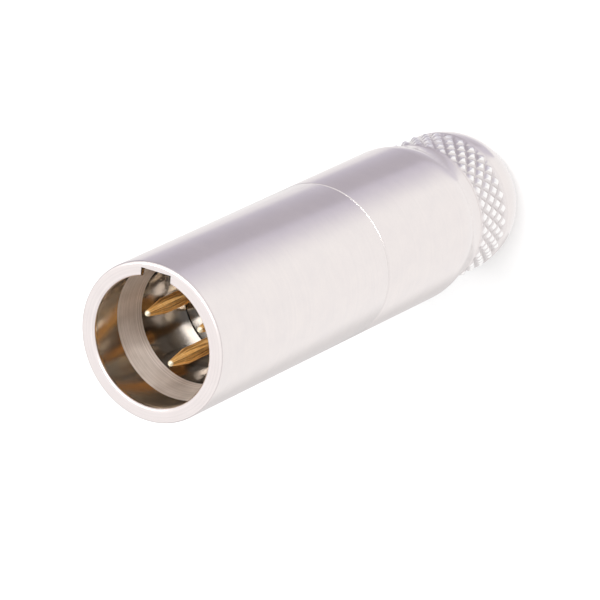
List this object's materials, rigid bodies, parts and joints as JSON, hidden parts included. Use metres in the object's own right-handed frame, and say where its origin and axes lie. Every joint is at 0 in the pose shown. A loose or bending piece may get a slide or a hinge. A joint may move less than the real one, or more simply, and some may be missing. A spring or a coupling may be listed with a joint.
{
  "type": "mini xlr plug",
  "caption": "Small male cable plug: keyed metal barrel over gold pins, with a screwed, knurled and domed handle that closes a collet on the cable.",
  "frame": {"origin": "middle of the flat rear face that the plug stands on", "axes": "+Z along the plug's axis from the cable end to the mating mouth, +Y through the keyway"},
  "size_m": [0.01, 0.01, 0.0365],
  "materials": {
    "shell_nickel": "satin nickel plate on turned metal",
    "handle_nickel": "satin nickel plate on turned and knurled metal",
    "insulator_black": "moulded, matte",
    "contact_gold": "gold plate, polished",
    "lug_tinned": "tinned, dull",
    "spring_steel": "spring steel, oiled",
    "sleeve_plastic": "natural nylon",
    "collet_plastic": "moulded, matte"
  },
  "bodies": {
    "front": {"front_shell": "shell_nickel", "front_insulator": "insulator_black", "rear_insulator": "insulator_black", "contact_1": "contact_gold", "contact_2": "contact_gold", "contact_3": "contact_gold", "ground_lug": "lug_tinned", "retaining_ring": "spring_steel", "insulating_sleeve": "sleeve_plastic"},
    "clamp": {"collet": "collet_plastic"},
    "grip": {"handle": "handle_nickel"}
  },
  "joints": [
    {"name": "collet_back", "type": "slide", "parent": "front", "child": "clamp", "axis": [0, 0, -1], "range_m": [0, 0.0045]},
    {"name": "handle_unscrew", "type": "hinge", "parent": "clamp", "child": "grip", "pos_m": [0, 0, 0.009], "axis": [0, 0, -1], "range_deg": [0, 2160]}
  ],
  "couplings": [
    {"joint": "handle_unscrew", "follows": "collet_back", "rad_per_m": 8377.6}
  ]
}
